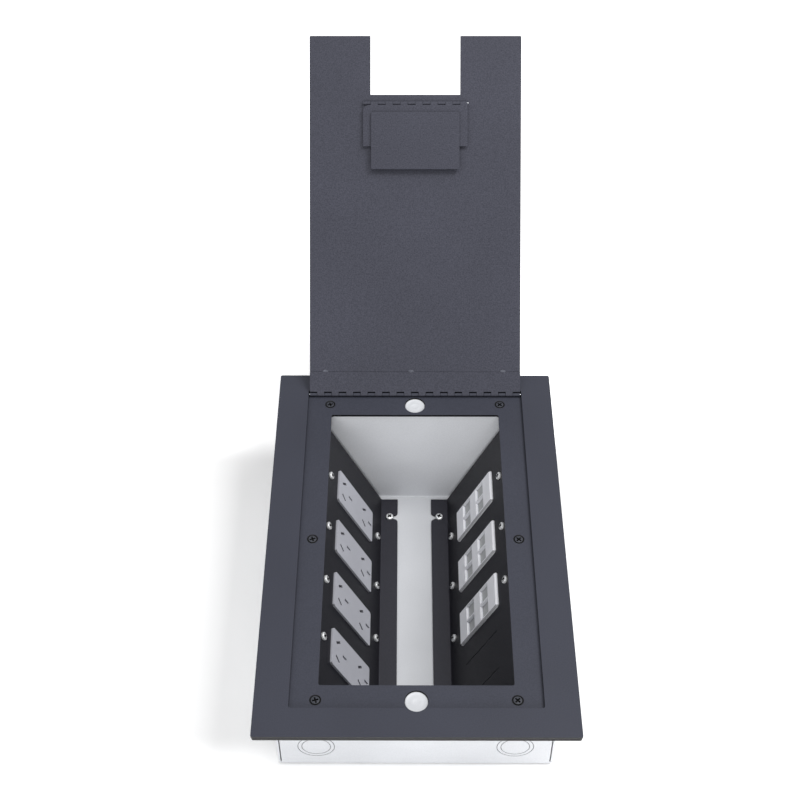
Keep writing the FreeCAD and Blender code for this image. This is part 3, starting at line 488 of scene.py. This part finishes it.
def screw_frame(island):
    """The turn and place that put a screw, drawn head up at zero, over a CAD screw, and its length."""
    centre = sum(island, Vector()) / len(island)
    spread = numpy.array([list(point - centre) for point in island])
    sizes, directions = numpy.linalg.svd(spread, full_matrices=False)[1:]
    # The axis is the odd one out of three directions, the longest or, in a short screw, the shortest.
    longest = sizes[0] - sizes[1] > sizes[1] - sizes[2]
    axis = Vector(directions[0 if longest else 2])
    along = [(point - centre).dot(axis) for point in island]
    around = [((point - centre) - axis * reach).length for point, reach in zip(island, along)]
    if along[around.index(max(around))] < (min(along) + max(along)) / 2:
        axis = -axis
        along = [-reach for reach in along]
    rim = [point for point, far in zip(island, around) if far > RIM_SHARE * max(around)]
    middle = sum(rim, Vector()) / len(rim)
    top = middle + axis * (max(along) - (middle - centre).dot(axis))
    spin = Matrix.Rotation(RIGHT_SPIN if top.x > 0 else LEFT_SPIN, 4, "Z")
    turn = axis.to_track_quat("Z", "Y").to_matrix().to_4x4() @ spin
    return Matrix.Translation(top) @ turn, max(along) - min(along)


def set_screws(node, master, finish, whole_head, face_depth):
    """Detailed screws in place of a node's plain ones.

    Faces deeper than face_depth take painted shade in the near-black recess finish: over the whole head, or only
    near its middle.
    """
    frames = [screw_frame(island) for island in islands(node)]
    made = master(frames[0][1])
    widest = max(vert.co.xy.length for vert in made.verts)
    for face in made.faces:
        middle = face.calc_center_median()
        inner = middle.xy.length < MIDDLE_SHARE * widest
        face.material_index = 1 if middle.z < -face_depth and (inner or whole_head) else 0
    whole = join_copies(made, [frame_of for frame_of, length in frames])
    piece = mesh_object("detailed_" + node, whole, [FINISHES[finish], FINISHES["recess_shade"]])
    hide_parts(node)
    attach(piece, "base")


set_screws("frame_screws", countersunk_screw, "screw_face", True, 0.03 * MM)
for screw_node in ("outlet_screws", "data_screws", "foot_screws"):
    set_screws(screw_node, pan_screw, "zinc_steel", False, 0.35 * MM)


# ---------------------------------------------------------------- plugs
def dished_plug(node):
    """A plug with a rounded rim, a shallow dish and a moulding pip in the middle."""
    low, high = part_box(node)
    radius = (high.x - low.x) / 2
    deep = high.z - low.z
    rim = radius - 0.9 * MM
    body = lathe([
        (0, -deep), (radius, -deep), (radius, -0.3 * MM), (radius - 0.1 * MM, -0.1 * MM),
        (radius - 0.3 * MM, 0), (rim, -0.03 * MM), (rim - 0.4 * MM, -0.25 * MM), (rim - 0.9 * MM, -0.4 * MM),
        (radius * 0.55, -0.42 * MM), (radius * 0.42, -0.3 * MM), (radius * 0.36, -0.3 * MM),
        (radius * 0.25, -0.55 * MM), (radius * 0.15, -0.6 * MM), (0, -0.6 * MM)], segments=96)
    piece = mesh_object("detailed_" + node, body, [FINISHES["plug_plastic"]])
    piece.location = ((low.x + high.x) / 2, (low.y + high.y) / 2, high.z)
    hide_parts(node)
    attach(piece, "base")


for plug_node in ("plug_front", "plug_rear"):
    dished_plug(plug_node)


# ---------------------------------------------------------------- hinge marks
# The hinge's angle between shut and rest, where the lid is open.
LID_OPEN = math.radians(JOINTS["lid_hinge"]["range_deg"][1])
LID_TURN = Matrix.Rotation(-LID_OPEN, 4, "X")
# The radius of the knuckles and the thickness of the leaves.
BARREL = 1.5 * MM
LEAF = 0.8 * MM
# Along the wire: the tack welds of the lid's leaf and the stakes in its knuckles.
WELD_PLACES = (-71.6 * MM, -2.9 * MM, 69.9 * MM)
STAKE_PLACES = (-41.8 * MM, 28.2 * MM)
WELD_REACH = 18 * MM
LUMP_SHAKE, LUMP_GRAIN, LUMP_STEP = 0.35, 1.7, 3.1


def on_open_lid(joint):
    """The frame of a hinge pin with the shut lid's own axes, turned open with the lid."""
    return Matrix.Translation(Vector(JOINTS[joint]["pos_m"])) @ LID_TURN


def lump(name, places, size, seed, finish, body, frame_of):
    """Small uneven lumps of metal, one at each place."""
    made = bmesh.new()
    for number, place in enumerate(places):
        grown = bmesh.ops.create_icosphere(made, subdivisions=3, radius=1)["verts"]
        for vert in grown:
            shake = noise.noise(vert.co * LUMP_GRAIN + Vector((seed, number * LUMP_STEP, 0)))
            vert.co *= 1 + LUMP_SHAKE * shake
            vert.co = Vector((vert.co.x * size[0], vert.co.y * size[1], vert.co.z * size[2])) + Vector(place)
    made.transform(frame_of)
    piece = mesh_object(name, made, [FINISHES[finish]])
    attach(piece, body)


def pin_ends(name, node, body, frame_of, sides):
    """Bright peened ends on a hinge wire, just past its leaves, at the right (1) or left (-1)."""
    low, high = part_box(node)
    half = (high.x - low.x) / 2
    radius = 0.7 * MM
    peened = lathe([
        (0, -0.2 * MM), (radius, -0.2 * MM), (radius, 0.35 * MM), (radius * 0.8, 0.6 * MM),
        (radius * 0.4, 0.72 * MM), (0, 0.74 * MM)], segments=24)
    ends = [
        frame_of @ Matrix.Translation((side * half, 0, 0)) @ Matrix.Rotation(side * math.pi / 2, 4, "Y")
        for side in sides]
    piece = mesh_object(name, join_copies(peened, ends), [FINISHES["hinge_wire"]])
    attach(piece, body)


lid_axis, flap_axis = on_open_lid("lid_hinge"), on_open_lid("flap_hinge")
welds = [(x, -WELD_REACH, LEAF - BARREL) for x in WELD_PLACES]
lump("leaf_welds", welds, (2.5 * MM, 1.8 * MM, 0.8 * MM), 1, "weld_bead_lit", "lid", lid_axis)
# The stakes are small near-black lumps: painted shade for the stake marks.
stakes = [(x, -1.1 * MM, -1.0 * MM) for x in STAKE_PLACES]
lump("pin_stakes", stakes, (0.55 * MM, 0.5 * MM, 0.5 * MM), 5, "recess_shade", "lid", lid_axis)
pin_ends("lid_pin_ends", "hinge_pin", "lid", lid_axis, (1, -1))
pin_ends("flap_pin_end", "flap_pin", "lid", flap_axis, (1,))


# ---------------------------------------------------------------- studio
FLOOR_SIZE = 3.6
FLOOR_LEVEL = CAD_BOX[0].z - 0.0002
FLOOR_TONE = 0.8
# The floor's tone where it is seen: close beside the box, and everywhere else, where the higher tone is painted
# light that washes out the shadows cast there.
FLOOR_SEEN = (1.03, 1.7)
# Where the one turns into the other, along the box from its middle, and how much further it
# reaches across the box.
FLOOR_LIFT = (0.13, 0.17)
FLOOR_MIDDLE = 0.03
FLOOR_WIDER = 0.12

# Each lamp's name, place, aim, size and watts.
LAMPS = (
    ("key", (0.95, 0.15, 1.85), (0, 0.05, 0), (0.8, 0.8), 25),
    ("overhead", (-0.1, -0.1, 1.9), (0, 0, 0), (0.6, 0.6), 5.5),
    ("front_fill", (-0.3, -2.1, 0.85), (0, 0, 0), (1.8, 0.8), 22))
WORLD_LIGHT, WORLD_SEEN = 0.5, 1.0

CAMERA_PLACE = (-0.0076, -0.6228, 0.8116)
CAMERA_PITCH = 0.81906
CAMERA_YAW = -0.00561
CAMERA_ROLL = -0.00292
# The focal length in pixels of a picture this wide, on a sensor this many millimetres wide.
CAMERA_FOCAL = 1400.7
PICTURE_WIDTH = 800
SENSOR_WIDTH = 36


def seen_rays(tree):
    """One where a surface is seen, mirrored or seen through, and nought where it lights the object."""
    path = tree.nodes.new("ShaderNodeLightPath")
    rays = path.outputs["Is Camera Ray"]
    for kind in ("Is Glossy Ray", "Is Transmission Ray"):
        most = tree.nodes.new("ShaderNodeMath")
        most.operation = "MAXIMUM"
        tree.links.new(rays, most.inputs[0])
        tree.links.new(path.outputs[kind], most.inputs[1])
        rays = most.outputs[0]
    return rays


def paint_floor():
    """A pale floor that keeps the object's shadow beside it and looks white around it, where painted light washes
    its shadows out.
    """
    shade = Shade("studio_floor", roughness=1.0)
    axes = shade.node("ShaderNodeSeparateXYZ")
    shade.link(shade.place, axes.inputs["Vector"])
    along = shade.reckon("ABSOLUTE", shade.reckon("SUBTRACT", axes.outputs["Y"], FLOOR_MIDDLE))
    across = shade.reckon("SUBTRACT", shade.reckon("ABSOLUTE", axes.outputs["X"]), FLOOR_WIDER)
    shadow_wash = shade.node("ShaderNodeMapRange", interpolation_type="SMOOTHSTEP")
    shadow_wash.inputs["From Min"].default_value, shadow_wash.inputs["From Max"].default_value = FLOOR_LIFT
    shadow_wash.inputs["To Min"].default_value, shadow_wash.inputs["To Max"].default_value = FLOOR_SEEN
    shade.link(shade.reckon("MAXIMUM", along, across), shadow_wash.inputs["Value"])
    return shade.finish(shade.mix(seen_rays(shade.tree), grey(FLOOR_TONE), shadow_wash.outputs[0]))


def make_floor():
    """The floor, a hair below the box."""
    bpy.ops.mesh.primitive_plane_add(size=FLOOR_SIZE, location=(0, 0, FLOOR_LEVEL))
    floor = bpy.context.object
    floor.name = "floor"
    floor.data.materials.append(paint_floor())


def soft_lamp(name, place, target, size, watts):
    """A rectangular area lamp aimed at a point."""
    data = bpy.data.lights.new(name, "AREA")
    data.shape = "RECTANGLE"
    data.size, data.size_y = size
    data.energy = watts
    lamp = bpy.data.objects.new(name, data)
    lamp.location = place
    aim = Vector(target) - Vector(place)
    lamp.rotation_euler = aim.to_track_quat("-Z", "Y").to_euler()
    bpy.context.collection.objects.link(lamp)


def light_world(level, seen):
    """Plain fill light, and the backdrop's own brightness where it is seen or mirrored."""
    world = bpy.data.worlds.new("studio")
    world.use_nodes = True
    bpy.context.scene.world = world
    tree = world.node_tree
    back = tree.nodes["Background"]
    back.inputs["Color"].default_value = (1, 1, 1, 1)
    mix = tree.nodes.new("ShaderNodeMix")
    mix.data_type = "FLOAT"
    tree.links.new(seen_rays(tree), mix.inputs[0])
    mix.inputs[2].default_value = level
    mix.inputs[3].default_value = seen
    tree.links.new(mix.outputs[0], back.inputs["Strength"])


def make_camera():
    """The photograph's viewpoint: in front, high up, looking down at the open box."""
    data = bpy.data.cameras.new("camera")
    data.sensor_width = SENSOR_WIDTH
    data.lens = SENSOR_WIDTH * CAMERA_FOCAL / PICTURE_WIDTH
    data.clip_start, data.clip_end = 0.01, 20
    camera = bpy.data.objects.new("camera", data)
    camera.location = CAMERA_PLACE
    ahead = Vector((
        math.sin(CAMERA_YAW) * math.cos(CAMERA_PITCH),
        math.cos(CAMERA_YAW) * math.cos(CAMERA_PITCH),
        -math.sin(CAMERA_PITCH)))
    upright = ahead.to_track_quat("-Z", "Y").to_matrix()
    roll = Matrix.Rotation(CAMERA_ROLL, 3, "Z")
    camera.rotation_euler = (upright @ roll).to_euler()
    bpy.context.collection.objects.link(camera)
    bpy.context.scene.camera = camera


make_camera()
make_floor()
light_world(WORLD_LIGHT, WORLD_SEEN)
for lamp_settings in LAMPS:
    soft_lamp(*lamp_settings)

bpy.context.scene.view_settings.view_transform = "Standard"
